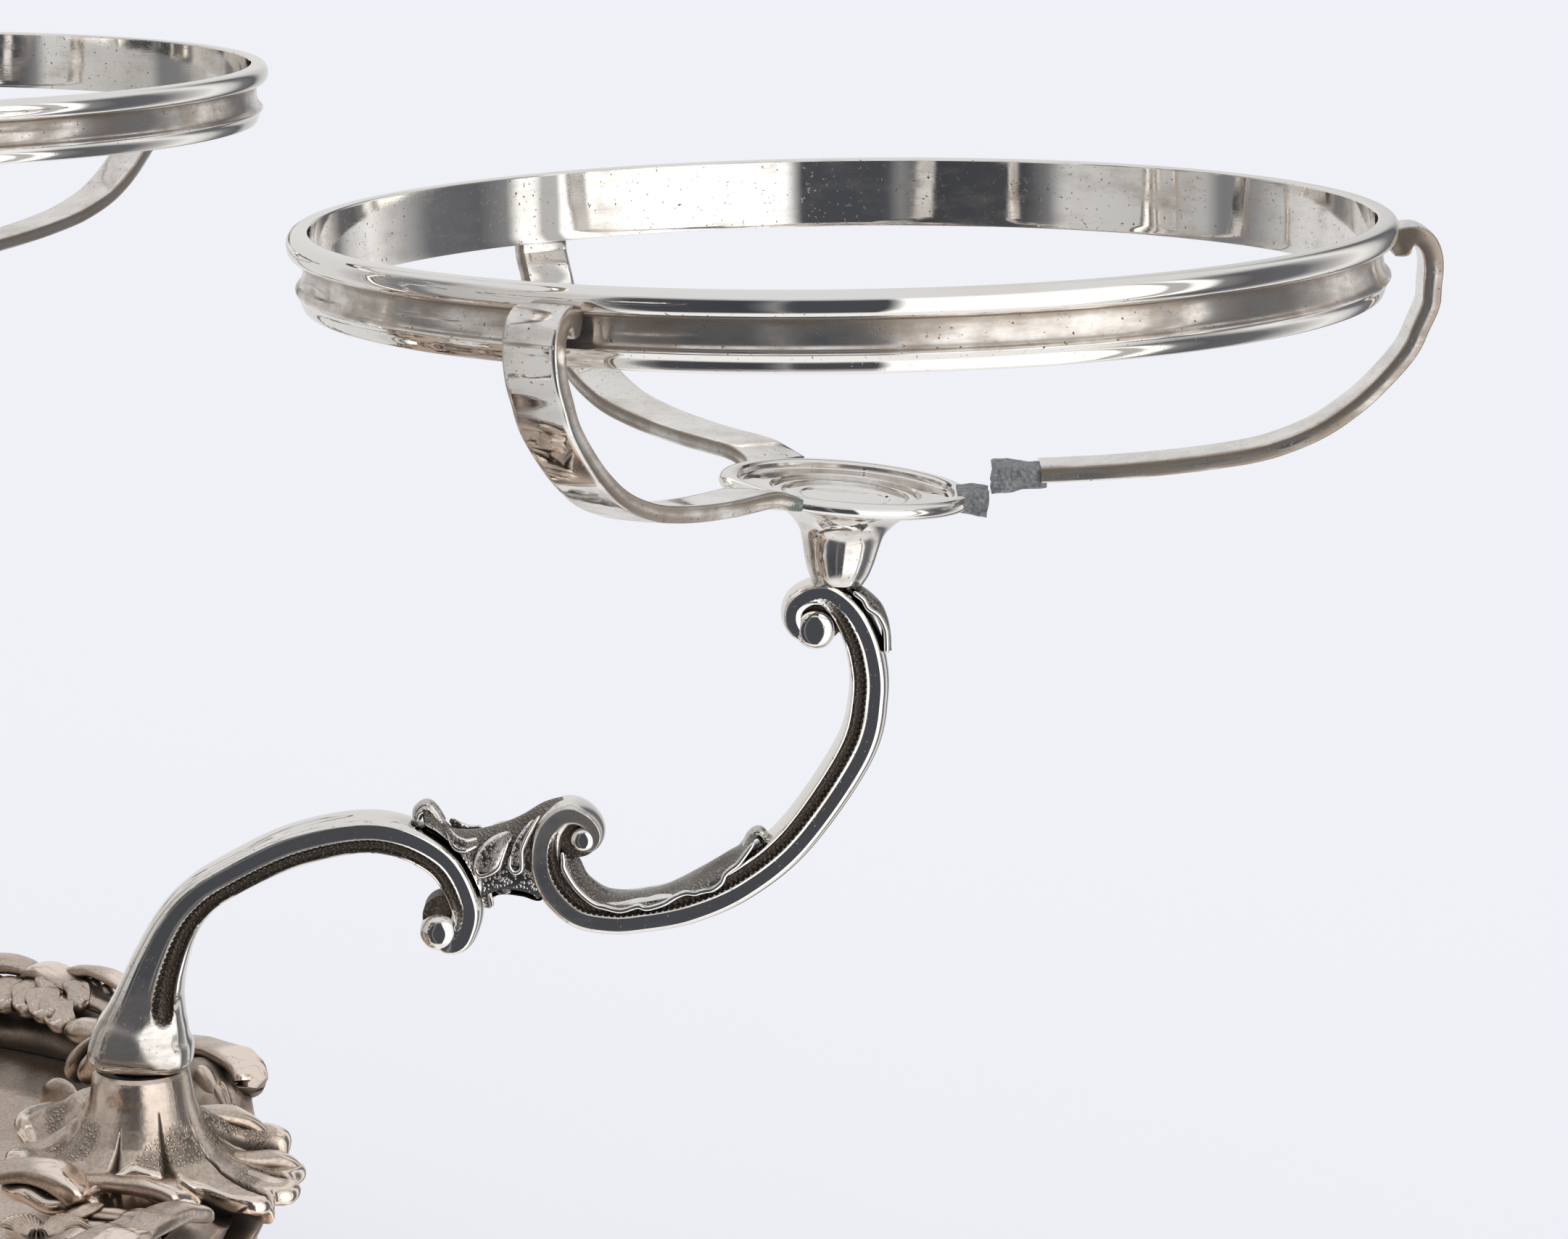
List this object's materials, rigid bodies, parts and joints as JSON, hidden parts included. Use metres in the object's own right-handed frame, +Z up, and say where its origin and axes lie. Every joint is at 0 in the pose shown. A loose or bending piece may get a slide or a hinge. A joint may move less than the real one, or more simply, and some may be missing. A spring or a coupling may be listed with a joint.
{
  "type": "table centerpiece",
  "caption": "Silver table centerpiece: round base with cast border, scroll arms that lift out of sockets, and a ring cradle on each arm and on a central column, one strap broken.",
  "frame": {"origin": "under the middle of the base, on the table", "axes": "+Z up, +X along the arm with the broken cradle"},
  "size_m": [0.4993, 0.4814, 0.2659],
  "materials": {
    "polished_silver": "polished, light tarnish in the recesses",
    "tarnished_silver": "satin, warm grey-brown tarnish with worn bright high spots",
    "steel": "turned, dull",
    "lead_solder": "rough, matt grey"
  },
  "bodies": {
    "base": {"base_body": "tarnished_silver", "top_plate": "tarnished_silver", "socket_1": "tarnished_silver", "socket_2": "tarnished_silver", "socket_3": "tarnished_silver", "socket_4": "tarnished_silver", "border_1": "tarnished_silver", "border_2": "tarnished_silver", "border_3": "tarnished_silver", "border_4": "tarnished_silver", "base_foot_1": "tarnished_silver", "base_foot_2": "tarnished_silver", "base_foot_3": "tarnished_silver", "base_foot_4": "tarnished_silver", "column": "polished_silver", "column_stud": "steel", "tie_rod": "steel", "tie_washer": "steel", "tie_nut": "steel"},
    "arm_1": {"arm_1": "polished_silver", "arm_stud_1": "steel"},
    "arm_2": {"arm_2": "polished_silver", "arm_stud_2": "steel"},
    "arm_3": {"arm_3": "polished_silver", "arm_stud_3": "steel"},
    "arm_4": {"arm_4": "polished_silver", "arm_stud_4": "steel"},
    "cradle_1": {"cup_1": "polished_silver", "ring_1": "polished_silver", "strap_1_1": "polished_silver", "strap_1_2": "polished_silver", "strap_1_3": "polished_silver", "solder_on_cup": "lead_solder", "solder_on_strap": "lead_solder"},
    "cradle_2": {"cup_2": "polished_silver", "ring_2": "polished_silver", "strap_2_1": "polished_silver", "strap_2_2": "polished_silver", "strap_2_3": "polished_silver"},
    "cradle_3": {"cup_3": "polished_silver", "ring_3": "polished_silver", "strap_3_1": "polished_silver", "strap_3_2": "polished_silver", "strap_3_3": "polished_silver"},
    "cradle_4": {"cup_4": "polished_silver", "ring_4": "polished_silver", "strap_4_1": "polished_silver", "strap_4_2": "polished_silver", "strap_4_3": "polished_silver"},
    "cradle_middle": {"cup_middle": "polished_silver", "ring_middle": "polished_silver", "strap_middle_1": "polished_silver", "strap_middle_2": "polished_silver", "strap_middle_3": "polished_silver"}
  },
  "joints": [
    {"name": "arm_1_lift", "type": "slide", "parent": "base", "child": "arm_1", "axis": [0.0698, 0, 0.9976], "range_m": [0, 0.02]},
    {"name": "arm_2_lift", "type": "slide", "parent": "base", "child": "arm_2", "axis": [0, 0, 1], "range_m": [0, 0.02]},
    {"name": "arm_3_lift", "type": "slide", "parent": "base", "child": "arm_3", "axis": [0, 0, 1], "range_m": [0, 0.02]},
    {"name": "arm_4_lift", "type": "slide", "parent": "base", "child": "arm_4", "axis": [0, 0, 1], "range_m": [0, 0.02]},
    {"name": "cradle_1_turn", "type": "hinge", "parent": "arm_1", "child": "cradle_1", "pos_m": [0.17096, 0, 0.12438], "axis": [0.0837, 0, 0.9965], "continuous": true},
    {"name": "cradle_2_turn", "type": "hinge", "parent": "arm_2", "child": "cradle_2", "pos_m": [0, 0.1659, 0.1306], "axis": [0, 0, 1], "continuous": true},
    {"name": "cradle_3_turn", "type": "hinge", "parent": "arm_3", "child": "cradle_3", "pos_m": [-0.1659, 0, 0.1306], "axis": [0, 0, 1], "continuous": true},
    {"name": "cradle_4_turn", "type": "hinge", "parent": "arm_4", "child": "cradle_4", "pos_m": [0, -0.1659, 0.1306], "axis": [0, 0, 1], "continuous": true},
    {"name": "cradle_middle_turn", "type": "hinge", "parent": "base", "child": "cradle_middle", "pos_m": [0, 0, 0.2099], "axis": [0, 0, 1], "continuous": true}
  ]
}
